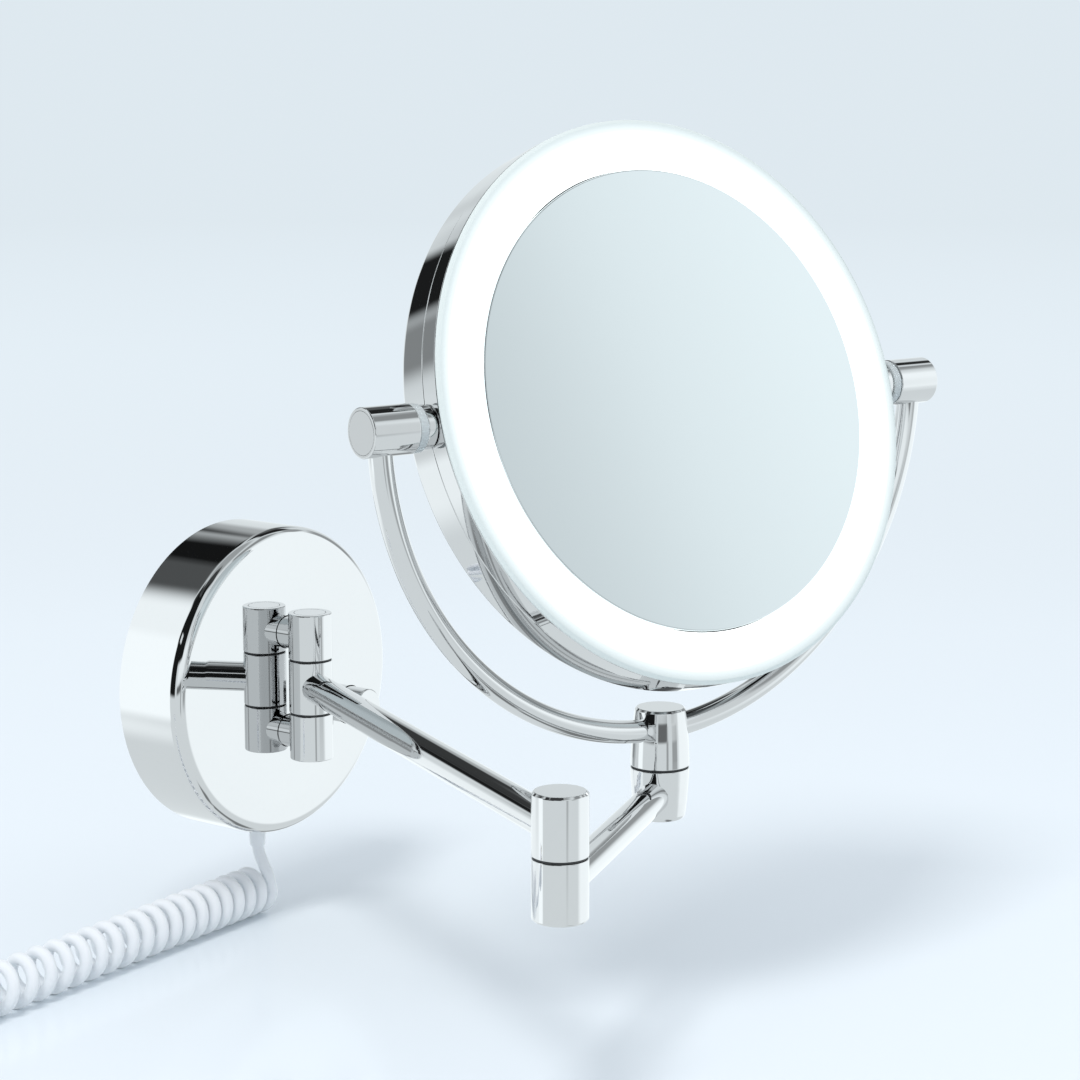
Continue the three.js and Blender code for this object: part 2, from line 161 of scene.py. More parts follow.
# %% The cord as one curve
cord_data = bpy.data.curves.new("curly_cord", "CURVE")
cord_data.dimensions = "3D"
cord_data.bevel_depth = CORD_R * MM
cord_data.bevel_resolution = 6
cord_data.use_fill_caps = True
spline = cord_data.splines.new("POLY")
spline.points.add(len(cord_path) - 1)
spline.points.foreach_set(
    "co", np.column_stack([cord_path * MM, np.ones(len(cord_path))]).ravel())
curly_cord = bpy.data.objects.new("curly_cord", cord_data)
scene.collection.objects.link(curly_cord)
print(len(cord_path), "points on the cord")

# %% [markdown]
# ## Materials
# A perfect surface looks false, even in chrome. Real plating, moulding and paint change a little
# from place to place. A picture of such marks could be wrapped round each piece, but it would
# show seams and need a file. Instead one shared node group gives each material a little life: two
# scales of noise drift between two colours and two roughnesses, and put out a height for a very
# faint bump. Each material sets its own values.

# %% The shared surface group
def surface_group():
    """Slow noise plus fine noise, mixed, gives one value from 0 to 1. That value mixes the two
    colours and the two roughnesses, and the fine noise alone is the height."""
    g = bpy.data.node_groups.new("surface drift", "ShaderNodeTree")
    for name, kind, value in [
        ("Colour A", "NodeSocketColor", (0.8, 0.8, 0.8, 1)),
        ("Colour B", "NodeSocketColor", (0.7, 0.7, 0.7, 1)),
        ("Roughness A", "NodeSocketFloat", 0.3), ("Roughness B", "NodeSocketFloat", 0.4),
        ("Scale", "NodeSocketFloat", 40), ("Fine scale", "NodeSocketFloat", 900),
    ]:
        g.interface.new_socket(name, in_out="INPUT", socket_type=kind).default_value = value
    for name, kind in [("Colour", "NodeSocketColor"), ("Roughness", "NodeSocketFloat"),
                       ("Height", "NodeSocketFloat")]:
        g.interface.new_socket(name, in_out="OUTPUT", socket_type=kind)
    new, link = g.nodes.new, g.links.new
    inputs, outputs = new("NodeGroupInput"), new("NodeGroupOutput")
    place = new("ShaderNodeTexCoord")
    slow, fine = new("ShaderNodeTexNoise"), new("ShaderNodeTexNoise")
    slow.inputs["Detail"].default_value = 3
    fine.inputs["Detail"].default_value = 2
    blend, colour, rough = (new("ShaderNodeMix") for _ in range(3))
    colour.data_type = "RGBA"
    blend.inputs[0].default_value = 0.3
    for noise, scale in ((slow, "Scale"), (fine, "Fine scale")):
        link(place.outputs["Object"], noise.inputs["Vector"])
        link(inputs.outputs[scale], noise.inputs["Scale"])
    link(slow.outputs["Fac"], blend.inputs[2])
    link(fine.outputs["Fac"], blend.inputs[3])
    link(blend.outputs[0], colour.inputs[0])
    link(inputs.outputs["Colour A"], colour.inputs[6])
    link(inputs.outputs["Colour B"], colour.inputs[7])
    link(blend.outputs[0], rough.inputs[0])
    link(inputs.outputs["Roughness A"], rough.inputs[2])
    link(inputs.outputs["Roughness B"], rough.inputs[3])
    link(colour.outputs[2], outputs.inputs["Colour"])
    link(rough.outputs[0], outputs.inputs["Roughness"])
    link(fine.outputs["Fac"], outputs.inputs["Height"])
    return g


DRIFT = surface_group()
BUMP_HEIGHT = 0.0002


def finish(name, colours, roughness, scale=40, fine=900, bump=0.0, metallic=0.0, **sockets):
    """A Principled material fed by the shared group. Constant values go on its own sockets."""
    m = bpy.data.materials.new(name)
    m.use_nodes = True
    shader = m.node_tree.nodes["Principled BSDF"]
    drift = m.node_tree.nodes.new("ShaderNodeGroup")
    drift.node_tree = DRIFT
    for socket, value in zip(
            ("Colour A", "Colour B", "Roughness A", "Roughness B", "Scale", "Fine scale"),
            ((*colours[0], 1), (*colours[1], 1), *roughness, scale, fine)):
        drift.inputs[socket].default_value = value
    m.node_tree.links.new(drift.outputs["Colour"], shader.inputs["Base Color"])
    m.node_tree.links.new(drift.outputs["Roughness"], shader.inputs["Roughness"])
    shader.inputs["Metallic"].default_value = metallic
    if bump:
        relief = m.node_tree.nodes.new("ShaderNodeBump")
        relief.inputs["Strength"].default_value = bump
        relief.inputs["Distance"].default_value = BUMP_HEIGHT
        m.node_tree.links.new(drift.outputs["Height"], relief.inputs["Height"])
        m.node_tree.links.new(relief.outputs["Normal"], shader.inputs["Normal"])
    for socket, value in sockets.items():
        shader.inputs[socket.replace("_", " ")].default_value = value
    return m


print("the shared group has", len(DRIFT.nodes), "nodes")

# %% Metals, plastics and boards
CHROME = finish("polished chrome", [(0.735, 0.74, 0.745), (0.70, 0.705, 0.71)], (0.015, 0.04),
                scale=25, fine=500, metallic=1)
MIRROR = finish("silvered glass", [(0.69, 0.735, 0.75), (0.675, 0.72, 0.735)], (0.0, 0.02),
                scale=8, fine=200, metallic=1)
STEEL = finish("zinc plated steel", [(0.62, 0.63, 0.64), (0.5, 0.51, 0.53)], (0.28, 0.42),
               scale=60, fine=1600, bump=0.25, metallic=1)
NYLON = finish("dark nylon", [(0.045, 0.047, 0.05), (0.03, 0.031, 0.033)], (0.45, 0.6), bump=0.15)
CORD = finish("white cord plastic", [(0.90, 0.925, 0.945), (0.87, 0.90, 0.925)], (0.3, 0.42),
              scale=120, fine=1500, bump=0.12, Coat_Weight=0.15, Coat_Roughness=0.3)
MOULDED = finish("white moulding", [(0.85, 0.87, 0.89), (0.81, 0.83, 0.85)], (0.28, 0.38),
                 scale=90, fine=1300, bump=0.12)
SHEATH = finish("wire sheath", [(0.8, 0.8, 0.8), (0.74, 0.74, 0.74)], (0.4, 0.5), bump=0.1)
BRASS = finish("nickelled brass", [(0.82, 0.72, 0.5), (0.72, 0.62, 0.42)], (0.16, 0.3),
               scale=120, bump=0.1, metallic=1)
BOARD = finish("green circuit board", [(0.03, 0.16, 0.07), (0.02, 0.11, 0.05)], (0.3, 0.45),
               scale=300, bump=0.2)
LIGHT_BOARD = finish("white light board", [(0.86, 0.86, 0.83), (0.8, 0.8, 0.76)], (0.4, 0.5),
                     scale=200, bump=0.1)
GREY = finish("grey moulding", [(0.17, 0.18, 0.19), (0.12, 0.13, 0.14)], (0.4, 0.55), bump=0.2)
BEARING = finish("bearing plastic", [(0.80, 0.85, 0.85), (0.72, 0.78, 0.79)], (0.12, 0.22),
                 scale=160, fine=1200, bump=0.05, Transmission_Weight=0.35, IOR=1.46)
print(len(bpy.data.materials), "materials")

# %% [markdown]
# ## The lit ring
# Round the mirror's edge a frosted acrylic ring is lit by small diodes behind it. It is brightest
# over the diodes and dimmer at its rim, which only gets the light that leaks sideways through the
# acrylic. Real lamps behind a cloudy solid would be slow to work out and grainy. A glowing surface
# gives the same look: the mesh carries how far out each point lies in an attribute, and a colour
# ramp turns that into light.

# %% Lit acrylic
GLOW = 1.15


def lit_acrylic():
    """Emission follows the attribute 'outward', 0 at the mirror and 1 at the rim."""
    m = finish("lit frosted acrylic", [(0.69, 0.73, 0.72), (0.67, 0.71, 0.70)], (0.3, 0.4), bump=0.05)
    tree = m.node_tree
    where = tree.nodes.new("ShaderNodeAttribute")
    where.attribute_name = "outward"
    ramp = tree.nodes.new("ShaderNodeValToRGB")
    stops = [(0.0, (0.97, 1, 1)), (0.62, (1, 1, 1)), (0.76, (0.26, 0.28, 0.28)),
             (0.93, (0.03, 0.05, 0.045)), (1.0, (0.05, 0.07, 0.065))]
    first, last = ramp.color_ramp.elements
    first.position, last.position = stops[0][0], stops[-1][0]
    for position, _ in stops[1:-1]:
        ramp.color_ramp.elements.new(position)
    for element, (_, colour) in zip(ramp.color_ramp.elements, stops):
        element.color = (*colour, 1)
    shader = tree.nodes["Principled BSDF"]
    tree.links.new(where.outputs["Fac"], ramp.inputs["Fac"])
    tree.links.new(ramp.outputs["Color"], shader.inputs["Emission Color"])
    shader.inputs["Emission Strength"].default_value = GLOW
    return m


LIT = lit_acrylic()
print("the lit ring glows at", GLOW)

# %% [markdown]
# ## Turned pieces
# Nearly everything here is turned on a lathe: a profile carried round an axis. A Screw modifier
# could carry it and a Bevel modifier could round its corners. Working the points out instead gives
# each corner its own rounding, and a true sharp corner never catches light. A ring set close to
# each rounding keeps the flats flat, which shows in polished metal.

# %% Rounded profiles
GUARD = 0.04  # how far outside a rounding its extra point lies, in millimetres
SIDE_SHARE = 0.45  # the most of a side that a rounding may use up
STRAIGHT = -0.999999  # the cosine between two sides that run straight on


def rounded(corners, steps=5):
    """Corners are (radius, distance, rounding). Each corner becomes an arc of a circle that
    touches both sides, with one more point just outside each end of the arc."""
    c = np.array([q[:2] for q in corners], float)
    out = []
    for i, (_, _, r) in enumerate(corners):
        if r == 0 or i in (0, len(corners) - 1):
            out.append(c[i])
            continue
        a, b = c[i - 1] - c[i], c[i + 1] - c[i]
        la, lb = np.linalg.norm(a), np.linalg.norm(b)
        a, b = a / la, b / lb
        if a @ b < STRAIGHT:
            out.append(c[i])
            continue
        half = math.acos(np.clip(a @ b, -1, 1)) / 2
        reach = min(r / math.tan(half), SIDE_SHARE * la, SIDE_SHARE * lb)
        radius, guard = reach * math.tan(half), min(GUARD, GUARD * min(la, lb))
        middle = c[i] + (a + b) / np.linalg.norm(a + b) * radius / math.sin(half)
        start, end = c[i] + a * reach - middle, c[i] + b * reach - middle
        t = np.linspace(0, 1, steps + 1)[:, None]
        sweep = np.pi - 2 * half
        arc = (np.sin((1 - t) * sweep) * start + np.sin(t * sweep) * end) / math.sin(sweep)
        out += [c[i] + a * (reach + guard), *(middle + arc), c[i] + b * (reach + guard)]
    return np.array(out)


print("a square corner becomes", len(rounded([(0, 0, 0), (10, 0, 1), (10, 5, 0)])) - 2, "points")

# %% Surfaces from a grid of points
SHARP = math.radians(35)  # edges that turn by more than this are shaded sharp


def surface(name, grid, wrap_rows, material, body, replaced, at=BASE, attribute=None):
    """Joins a grid of points (rows, columns, xyz in millimetres) into quads. Columns always close
    on themselves. Rows may, and otherwise start and end on a point of the axis. Doubled points
    are merged, the volume's sign turns the faces outwards, and the frame carries it to its place."""
    rows, columns = grid.shape[:2]
    points = grid.reshape(-1, 3) @ at[:3, :3].T + at[:3, 3]
    r = np.arange(rows if wrap_rows else rows - 1)[:, None]
    k = np.arange(columns)[None, :]
    n, m = (r + 1) % rows, (k + 1) % columns
    faces = np.stack([r * columns + k, n * columns + k, n * columns + m, r * columns + m], -1)
    faces = faces.reshape(-1, 4)
    p = points[faces]
    volume = (np.cross(p[:, 0], p[:, 1]) * p[:, 2]).sum() + (np.cross(p[:, 0], p[:, 2]) * p[:, 3]).sum()
    if volume < 0:
        faces = faces[:, ::-1]
    _, first, same = np.unique(np.round(points, 5), axis=0, return_index=True, return_inverse=True)
    faces = same.reshape(-1)[faces]
    mesh = bpy.data.meshes.new(name)
    mesh.from_pydata(points[first] * MM, [], [tuple(dict.fromkeys(f)) for f in faces.tolist()
                                              if len(set(f)) > 2])
    if attribute is not None:
        label, values = attribute
        mesh.attributes.new(label, "FLOAT", "POINT").data.foreach_set(
            "value", np.repeat(values, columns)[first].astype(np.float32))
    return finished(name, mesh, material, body, replaced)


def finished(name, mesh, material, body, replaced):
    """Shades a mesh smooth except at sharp edges, and ties it to its body, node and finish."""
    mesh.validate()
    mesh.shade_smooth()
    mesh.set_sharp_from_angle(angle=SHARP)
    mesh.materials.append(material)
    made = bpy.data.objects.new(name, mesh)
    scene.collection.objects.link(made)
    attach(made, body)
    if replaced:
        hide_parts(*replaced)
    return made


def turned(name, corners, at, body, material=CHROME, around=96, replaced=None,
           loop=False, steps=5, attribute=None):
    """A profile of (radius, distance, rounding) carried round Z: x is the radius times the
    angle's cosine, y is the radius times its sine, and z is the distance."""
    if loop:
        corners = [*corners, corners[0]]
    profile = rounded(corners, steps)
    if loop:
        profile = profile[:-1]
    a = np.linspace(0, 2 * np.pi, around, endpoint=False)
    grid = np.stack([np.outer(profile[:, 0], np.cos(a)), np.outer(profile[:, 0], np.sin(a)),
                     np.repeat(profile[:, 1:], around, 1)], -1)
    if attribute:
        attribute = attribute[0], attribute[1](profile)
    return surface(name + "_fine", grid, loop, material, body,
                   [name] if replaced is None else replaced, at, attribute)


# A piece turned about Z is laid along Y, which runs into the wall, along X to the right, or with
# its top towards the front, where the mirror looks. Or it is turned upside down.
ALONG_Y = turn(0, -90)
ALONG_X = turn(1, 90)
FORWARD = turn(0, 90)
FLIP = turn(0, 180)


def pipe(inner, outer, start, end, edge=0.2):
    """The closed profile of a tube's wall: a rectangle from the inner to the outer radius."""
    return [(inner, start, 0.1), (outer, start, edge), (outer, end, edge), (inner, end, 0.1)]


CLOSE = 2e-6  # points nearer than this, in metres, are the same point


def cut(made, cutters):
    """Takes other closed pieces away from a piece and throws them away. Then points that lie
    closer than a hair are merged, gaps of up to four sides are filled, and faces turned out."""
    for tool in cutters:
        boolean = made.modifiers.new("drill", "BOOLEAN")
        boolean.object, boolean.operation, boolean.solver = tool, "DIFFERENCE", "EXACT"
    graph = bpy.context.evaluated_depsgraph_get()
    mesh = bpy.data.meshes.new_from_object(made.evaluated_get(graph))
    tidy = bmesh.new()
    tidy.from_mesh(mesh)
    bmesh.ops.remove_doubles(tidy, verts=tidy.verts, dist=CLOSE)
    bmesh.ops.dissolve_degenerate(tidy, dist=CLOSE, edges=tidy.edges)
    bmesh.ops.holes_fill(tidy, edges=[e for e in tidy.edges if e.is_boundary], sides=4)
    bmesh.ops.recalc_face_normals(tidy, faces=tidy.faces)
    tidy.to_mesh(mesh)
    tidy.free()
    made.modifiers.clear()
    made.data = mesh
    mesh.shade_smooth()
    mesh.set_sharp_from_angle(angle=SHARP)
    for tool in cutters:
        bpy.data.objects.remove(tool)
    return made


def drill(radius, start, end, at, around=64):
    """A plain closed cylinder used only to cut with."""
    return turned("drill", [(0, start, 0), (radius, start, 0), (radius, end, 0), (0, end, 0)], at,
                  "wall_base", around=around, replaced=())


def tell(*names):
    """Prints how wide, deep and high the named pieces are, in millimetres, and their faces."""
    for name in names:
        mesh = bpy.data.objects[name + "_fine"].data
        points = np.empty(3 * len(mesh.vertices))
        mesh.vertices.foreach_get("co", points)
        spans = np.ptp(points.reshape(-1, 3), axis=0) / MM
        print(f"{name}: {np.round(spans, 1)} mm, {len(mesh.polygons)} faces")


print("a tube's wall has", len(pipe(4, 5, 0, 10)), "corners")

# %% [markdown]
# ## The base
# The cover is a shallow drum pressed from sheet and chromed. Its front is flat, and it falls away
# by under half a millimetre near its edge, as a pressed face does. The two hinge posts, the
# button, the cord and a grub screw each pass through a hole with a little room round it, which
# reads as a fine dark line. A solid disc with its edge bevelled would look the same from the
# front. A real wall with real holes stays right from every side, so the profile goes up the
# outside and back down the inside, and cylinders are cut out of it.

# %% Base cover
cover = turned("base_cover", [
    (60, -0.4, 0), (60, -31.1, 4.6), (47, -31.5, 60), (0, -31.5, 0), (0, -30, 0), (45, -30, 0),
    (58.5, -29.8, 3.0), (58.5, -0.4, 0.2),
], BASE @ ALONG_Y, "wall_base", around=256, loop=True, steps=10)
cut(cover, [
    drill(6.5, -40, -25, shift(0, 0, 19.5) @ ALONG_Y),
    drill(6.5, -40, -25, shift(0, 0, -19.5) @ ALONG_Y),
    drill(7.8, -40, -25, shift(36, 0, -16) @ ALONG_Y),
    drill(4.2, -62, -50, shift(0, -14, 0)),
    drill(2.6, -62, -50, turn(1, -28) @ shift(0, -6.5, 0)),
])
tell("base_cover")

# %% [markdown]
# ## The push button
# A light switch with a flat chrome cap stands on the base's front, beside the arm. It could be a
# cylinder with a bevel. It is turned like the rest, so that its edge has the same soft glint.

# %% Push button
turned("power_button", [(0, -27.5, 0), (7.5, -27.5, 0.2), (7.5, -41.5, 0.9), (0, -41.5, 0)],
       shift(36, 0, -16) @ ALONG_Y, "button", steps=8)
tell("power_button")

# %% [markdown]
# ## The wall hinge
# Two posts hold an upright of three short cylinders on one pin. The middle one turns with the
# inner arm. Nylon washers keep them a hair apart, and those seams are fine dark lines. One long
# cylinder with painted rings would look alike at rest, but it couldn't turn in the middle. So each
# cylinder is its own piece, and each post's end is cut hollow where it hugs the upright.

# %% Wall hinge
for side, z in (("upper", 19.5), ("lower", -19.5)):
    post = turned(f"hinge_post_{side}", [(0, -43.4, 0), (6.2, -43.4, 0), (6.2, -4.2, 0.2),
                                         (0, -4.2, 0)], shift(0, 0, z) @ ALONG_Y, "wall_base")
    cut(post, [drill(8.45, z - 12, z + 12, HINGE, 96)])
for side, at in (("top", HINGE), ("bottom", HINGE @ FLIP)):
    turned(f"hinge_knuckle_{side}", [
        (4, 10.9, 0.1), (8.4, 10.9, 0.22), (8.4, 28.6, 0.45), (6.2, 28.6, 0.1), (6.2, 22.2, 0.1),
        (4, 22.2, 0.1)], at, "wall_base", loop=True)
    turned(f"hinge_cap_{side}", [(0, 26.7, 0), (6.05, 26.7, 0.1), (6.05, 28.6, 0.12),
                                 (0, 28.6, 0)], at, "wall_base")
for side, at in (("upper", HINGE), ("lower", HINGE @ FLIP)):
    turned(f"hinge_washer_{side}", pipe(4, 8.05, 10.25, 10.75, 0.05), at, "wall_base", NYLON,
           loop=True)
turned("inner_arm_knuckle", pipe(4, 8.4, -10.1, 10.1, 0.22), HINGE, "inner_arm", loop=True)
tell("hinge_post_upper", "hinge_knuckle_top", "hinge_cap_top", "inner_arm_knuckle")

# %% [markdown]
# ## The folding arm
# The arms are plain chromed tubes brazed into their knuckles, so each tube's end is hidden inside
# a knuckle. The knuckles' outer edges are chamfered, and a recessed cap closes the pin's hole. A
# tube could be a curve with a bevel. Turning it gives it a true wall and square ends, the same way
# as every other piece.

# %% Arms and elbow
turned("inner_arm_tube", pipe(4.5, 5.8, 6, 218.5), INNER @ ALONG_X, "inner_arm", loop=True)
turned("elbow_upper_knuckle", [
    (0, 9, 0), (3.9, 9, 0.1), (3.9, -8.35, 0.1), (9.2, -8.35, 0.22), (9.2, 11.7, 0.35),
    (8.4, 12.5, 0.35), (0, 12.5, 0)], ELBOW, "inner_arm")
turned("elbow_lower_knuckle", [
    (3.9, -9.15, 0.1), (9.2, -9.15, 0.22), (9.2, -28.8, 0.3), (8.5, -29.5, 0.3), (6.6, -29.5, 0.1),
    (6.6, -23.8, 0.1), (3.9, -23.8, 0.1)], ELBOW, "outer_arm", loop=True)
turned("elbow_washer", pipe(4, 8.85, -9, -8.5, 0.05), ELBOW, "outer_arm", NYLON,
       loop=True)
turned("elbow_cap", [(0, -29.5, 0), (6.45, -29.5, 0.12), (6.45, -27.7, 0.1), (0, -27.7, 0)], ELBOW,
       "outer_arm")
turned("outer_arm_tube", pipe(4.2, 5.5, 6.5, 112.2), OUTER @ shift(0, 0, -18.7) @ ALONG_X,
       "outer_arm", loop=True)
tell("inner_arm_tube", "elbow_upper_knuckle", "elbow_lower_knuckle", "outer_arm_tube")

# %% [markdown]
# ## The swivel
# A small barrel in two halves turns on the outer arm's end. Its sides swell very slightly, which
# bends every reflection in them. Straight sides would be simpler, and would look like a pin. So
# the profile has a few more corners with very large roundings.

# %% Swivel barrel
turned("swivel_lower_half", [
    (0, -27.5, 0), (8.5, -27.5, 0.7), (9.2, -26.4, 1.5), (9.75, -21, 60), (10.2, -15, 60),
    (10.45, -10.5, 40), (10.5, -9.15, 0.22), (3.4, -9.15, 0.1), (3.4, -24.2, 0.1), (0, -24.2, 0),
], SWIVEL, "outer_arm")
turned("swivel_washer", pipe(3.4, 10.15, -9, -8.5, 0.05), SWIVEL, "outer_arm", NYLON,
       loop=True)
turned("swivel_upper_half", [
    (0, -1.2, 0), (3.4, -1.2, 0.1), (3.4, -8.35, 0.1), (10.5, -8.35, 0.22), (10.4, -5, 40),
    (10.05, 1.5, 60), (9.45, 8, 60), (9.02, 11.7, 0.4), (8.3, 12.5, 0.4), (0, 12.5, 0),
], YOKE, "yoke")
tell("swivel_lower_half", "swivel_washer", "swivel_upper_half")

# %% [markdown]
# ## The yoke
# The yoke is one tube bent to just under half a circle, through the barrel's top and up to the two
# knobs. A bevelled curve would do. A grid of points closes its own ends and keeps the rows evenly
# spaced, so that the long highlights run without a ripple.

# %% Yoke tube
def bent_tube(radius, tube, centre_z, reach_z, rows=160, columns=40):
    """A circle of points carried round an arc: the point lies radius + tube cos(b) from the
    arc's centre and tube sin(b) out of its plane. Each end closes on its own middle."""
    end = math.asin((centre_z - reach_z) / radius)
    a = np.linspace(-np.pi + end, -end, rows)
    a = np.concatenate([a[:1], a, a[-1:]])[:, None]
    b = np.linspace(0, 2 * np.pi, columns, endpoint=False)[None, :]
    size = np.full(len(a), tube)[:, None]
    size[0] = size[-1] = 0
    out = radius + size * np.cos(b)
    return np.stack([out * np.cos(a), size * np.sin(b) + 0 * a, centre_z + out * np.sin(a)], -1)


surface("yoke_tube_fine", bent_tube(117.7, 4.1, 122.2, 115.5), False, CHROME, "yoke",
        ["yoke_tube"], YOKE)
tell("yoke_tube")

# %% [markdown]
# ## The side pivots
# Each knob screws on to the yoke's end and hides a shaft from the head. Between the knob and the
# head sit a pale bearing washer and a chrome collar. The two sides are mirror images, but a mirrored
# mesh can turn inside out. So the second side is the first one carried half a turn round.

# %% Pivots
for side, way in (("right", np.eye(4)), ("left", HALF_TURN)):
    knob = YOKE @ shift(0, 0, 120) @ way @ ALONG_X
    turned(f"pivot_knob_{side}", [
        (0, 121.2, 0), (4.4, 121.2, 0.1), (4.4, 106.7, 0.1), (8.4, 106.7, 0.35), (8.4, 124.5, 0.4),
        (7.3, 124.5, 0.04), (7.3, 122.9, 0.1), (0, 122.9, 0)], knob, "yoke")
    turned(f"pivot_end_cap_{side}", [
        (0, 123.05, 0), (7.2, 123.05, 0.1), (7.2, 124.53, 0.06), (0, 124.53, 0)],
        knob, "yoke")
    stud = HEAD @ way @ ALONG_X
    turned(f"pivot_washer_{side}", pipe(4.2, 8.2, 103.3, 106.55, 0.5), stud, "head", BEARING,
           loop=True)
    turned(f"pivot_stud_{side}", [
        (0, 88.5, 0), (4, 88.5, 0.2), (4, 99.5, 0.1), (7.5, 99.5, 0.4), (7.5, 103.1, 0.4),
        (4, 103.1, 0.1), (4, 120.8, 0.2), (0, 120.8, 0)], stud, "head")
tell("pivot_knob_right", "pivot_end_cap_right", "pivot_washer_right", "pivot_stud_right")

# %% [markdown]
# ## The head
# Two chromed rings meet at a shallow groove. The front one holds the lit acrylic, and the mirror
# sits inside that. The back one holds a second mirror. All of them could be one turned solid with
# several materials. They are separate, because a seam between two finishes is only crisp where
# two real edges meet. The rings are turned with many more steps than the small pieces, because
# they are the longest curves on the mirror.

# %% Head
SHAFT_HOLES = [HEAD @ way @ ALONG_X for way in (np.eye(4), HALF_TURN)]
LIT_FROM, LIT_WIDTH = 81.5, 17.8
rim = turned("head_front_rim", [
    (97.7, 1.0, 0.1), (99.3, 1.0, 0.45), (99.3, 8.7, 0.3), (97.7, 8.7, 0.1)],
    HEAD @ FORWARD, "head", around=320, loop=True)
shell = turned("head_rear_shell", [
    (97.3, 0.6, 0.1), (98.9, 0.6, 0.45), (98.9, -11.9, 2.2), (96.5, -13.2, 1.2), (91, -13.2, 0.35),
    (91, -11.8, 0.3), (96.1, -11.8, 0.8), (97.3, -10.4, 0.5)],
    HEAD @ FORWARD, "head", around=320, loop=True, steps=8)
for ring in (rim, shell):
    cut(ring, [drill(4.3, 88, 102, hole, 48) for hole in SHAFT_HOLES])
turned("diffuser_ring", [
    (81.5, 8.1, 0.1), (97.3, 8.1, 0.1), (97.3, 8.85, 0.1), (99.3, 8.85, 0.2), (99.3, 9.4, 0.5),
    (98.0, 10.3, 0.8), (90, 10.3, 0.1), (81.5, 10.3, 0.25)],
    HEAD @ FORWARD, "head", LIT, around=320, loop=True,
    attribute=("outward", lambda p: np.clip((p[:, 0] - LIT_FROM) / LIT_WIDTH, 0, 1)))
turned("front_mirror", [(0, 7.4, 0), (81.1, 7.4, 0.2), (81.1, 10.6, 0.5), (0, 10.6, 0)],
       HEAD @ FORWARD, "head", MIRROR, around=320)
turned("rear_mirror", [(0, -11.6, 0), (95.5, -11.6, 0.3), (95.5, -8.6, 0.2), (0, -8.6, 0)],
       HEAD @ FORWARD, "head", MIRROR, around=256)
tell("head_front_rim", "head_rear_shell", "diffuser_ring", "front_mirror", "rear_mirror")

# %% [markdown]
# ## The cord's fittings
# A stepped and tapered sleeve guards the cord where it leaves the base. It could be part of the
# cord, swollen at its end. It is a piece of its own, because the cord only passes through it.

# %% Strain relief
relief = turned("strain_relief", [
    (2.5, -56, 0.1), (5.6, -56, 0.3), (5.6, -58.1, 0.3), (3.9, -58.1, 0.1), (3.9, -60.4, 0.3),
    (3.5, -60.8, 0.3), (2.95, -68.6, 0.3), (2.5, -68.6, 0.1)], shift(0, -14, 0), "wall_base", CORD,
    loop=True)
tell("strain_relief")

# %% [markdown]
# ## The plug
# At the far end a flat two-pin plug carries a ribbed boot, and it lies on the surface beyond the
# coil. Its body is moulded, wider than it is high and wider towards its pins, so it can't be
# turned. A box with a Subdivision modifier would go soft all over. Rounded-box sections of changing
# width keep its broad faces flat and its corners tight.

# %% Plug
PLUG_REST = 7.3  # how high the plug's middle lies over the floor
PLUG_LENGTH = 34
ROUNDNESS = 3.6  # 2 would be an ellipse, and a very large number a square box
PLUG = shift(-283, -44, FLOOR_Z + PLUG_REST) @ turn(2, 192)
ribs = [p for k in range(5) for p in (
    (3.3 + 0.3 * k, -16.8 + 3.2 * k, 0.3), (3.4 + 0.3 * k, -14.6 + 3.2 * k, 0.3),
    (2.8 + 0.3 * k, -14.5 + 3.2 * k, 0.3), (2.85 + 0.3 * k, -13.7 + 3.2 * k, 0.3))]
boot = turned("plug_boot", [(0, -18.6, 0), (3.0, -18.6, 0.5), *ribs, (4.8, -0.3, 0.2),
                            (0, -0.3, 0)], PLUG @ ALONG_X, "wall_base", CORD,
              around=48, steps=2)


def plug_grid(rows=40, columns=64):
    """Rounded-box sections along the plug. In each, y over the half width and z over the half
    height, both raised to the roundness, add up to one. Both halves grow from the cord's end to
    the pins' face and draw in a little at each end."""
    t = np.linspace(0, 1, rows)
    draw_in = 1 - 0.06 * np.exp(-t * 40) - 0.06 * np.exp(-(1 - t) * 40)
    inset = np.concatenate([[0, 0.85], draw_in, [0.85, 0]])
    x = PLUG_LENGTH * np.concatenate([[0, 0], t, [1, 1]])
    w = np.interp(x, [0, 3, 8, 16, 26, 34], [7.4, 10.2, 13.6, 15.4, 17.1, 17.4]) * inset
    h = np.interp(x, [0, 6, 34], [6.0, 6.7, 6.75]) * inset
    a = np.linspace(0, 2 * np.pi, columns, endpoint=False)
    power = 2 / ROUNDNESS
    c, s = np.cos(a), np.sin(a)
    return np.stack([np.repeat(x[:, None], columns, 1),
                     np.outer(w, np.sign(c) * np.abs(c) ** power),
                     np.outer(h, np.sign(s) * np.abs(s) ** power)], -1)


plug = surface("plug_body_fine", plug_grid(), False, MOULDED, "wall_base", ["plug_body"],
               PLUG)
for side, y in (("left", -9.3), ("right", 9.3)):
    cut(plug, [drill(2.15, 30, 36, PLUG @ shift(0, y, 0) @ ALONG_X, 32)])
    turned(f"plug_pin_{side}", [(0, 30.2, 0), (2, 30.2, 0.1), (2, 53, 1.2), (0, 53, 0)],
                       PLUG @ shift(0, y, 0) @ ALONG_X, "wall_base", BRASS,
                       around=48)
tell("plug_boot", "plug_body", "plug_pin_left", "plug_pin_right")

# %% [markdown]
# ## Joining the cord to the base
# The cord is a free thing with a real length and thickness. The curve takes the cord's finish and
# is tied to the base, and the engineering model's own cord pieces are hidden.

# %% The cord joins the base
cord_data.materials.append(CORD)
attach(curly_cord, "wall_base")
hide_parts("cord_lead", "cord_coil", "cord_tail")

